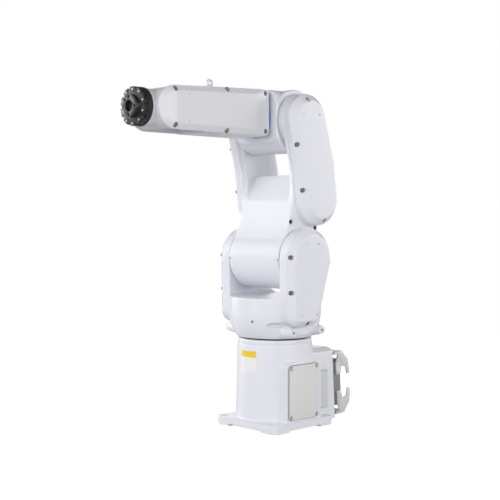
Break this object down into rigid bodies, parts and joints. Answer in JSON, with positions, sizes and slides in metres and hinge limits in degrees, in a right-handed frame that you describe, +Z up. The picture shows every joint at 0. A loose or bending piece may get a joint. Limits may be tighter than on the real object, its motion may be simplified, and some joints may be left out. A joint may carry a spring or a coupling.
{
  "type": "six-axis industrial robot arm",
  "caption": "Small white articulated robot arm on a square bolt-down base, with forked elbow and wrist, belt covers and a round tool flange.",
  "frame": {"origin": "on the first axis, at the mounting face of the base's four feet", "axes": "+X forward along the level forearm, +Y to the arm's left where the belt cover is, +Z up along the first axis"},
  "size_m": [0.536, 0.206, 0.6669],
  "materials": {
    "white_paint": "satin white paint",
    "cover_grey": "satin light grey paint",
    "seam_black": "matt seal",
    "flange_black": "black anodised",
    "ring_blue": "satin blue",
    "socket_grey": "powder-coated die casting",
    "latch_steel": "zinc plated",
    "insert_black": "matt"
  },
  "bodies": {
    "base": {"base_casting": "white_paint", "turn_bearing": "seam_black", "base_cover": "cover_grey", "rear_panel": "white_paint", "socket_shell": "socket_grey", "socket_insert": "insert_black"},
    "latch_upper": {"latch_upper": "latch_steel"},
    "latch_lower": {"latch_lower": "latch_steel"},
    "turret": {"turret_casting": "white_paint", "shoulder_cover_left": "white_paint", "shoulder_cover_right": "white_paint"},
    "upper_arm": {"upper_arm_casting": "white_paint", "belt_cover": "white_paint", "plain_cover": "white_paint"},
    "elbow": {"elbow_housing": "white_paint", "forearm_ring": "ring_blue"},
    "forearm": {"forearm_casting": "white_paint", "forearm_cover_left": "cover_grey", "forearm_cover_right": "cover_grey", "cable_eye": "latch_steel"},
    "wrist": {"wrist_housing": "cover_grey", "wrist_ring": "flange_black"},
    "flange": {"tool_flange": "flange_black"}
  },
  "joints": [
    {"name": "axis_1_turn", "type": "hinge", "parent": "base", "child": "turret", "pos_m": [0, 0, 0.177], "axis": [0, 0, 1], "range_deg": [-170, 170]},
    {"name": "axis_2_shoulder", "type": "hinge", "parent": "turret", "child": "upper_arm", "pos_m": [0, 0, 0.33], "axis": [0, 1, 0], "range_deg": [-95, 110]},
    {"name": "axis_3_elbow", "type": "hinge", "parent": "upper_arm", "child": "elbow", "pos_m": [0, 0, 0.596], "axis": [0, -1, 0], "range_deg": [-55, 190]},
    {"name": "axis_4_forearm_roll", "type": "hinge", "parent": "elbow", "child": "forearm", "pos_m": [0.058, 0, 0.604], "axis": [1, 0, 0], "range_deg": [-190, 190]},
    {"name": "axis_5_wrist", "type": "hinge", "parent": "forearm", "child": "wrist", "pos_m": [0.29, 0, 0.604], "axis": [0, 1, 0], "range_deg": [-120, 120]},
    {"name": "axis_6_flange", "type": "hinge", "parent": "wrist", "child": "flange", "pos_m": [0.341, 0, 0.604], "axis": [1, 0, 0], "range_deg": [-360, 360]},
    {"name": "latch_upper_pivot", "type": "hinge", "parent": "base", "child": "latch_upper", "pos_m": [-0.1387, 0.022, 0.0954], "axis": [0, -1, 0], "range_deg": [0, 20]},
    {"name": "latch_lower_pivot", "type": "hinge", "parent": "base", "child": "latch_lower", "pos_m": [-0.1415, 0.022, 0.0475], "axis": [0, 1, 0], "range_deg": [0, 20]}
  ]
}
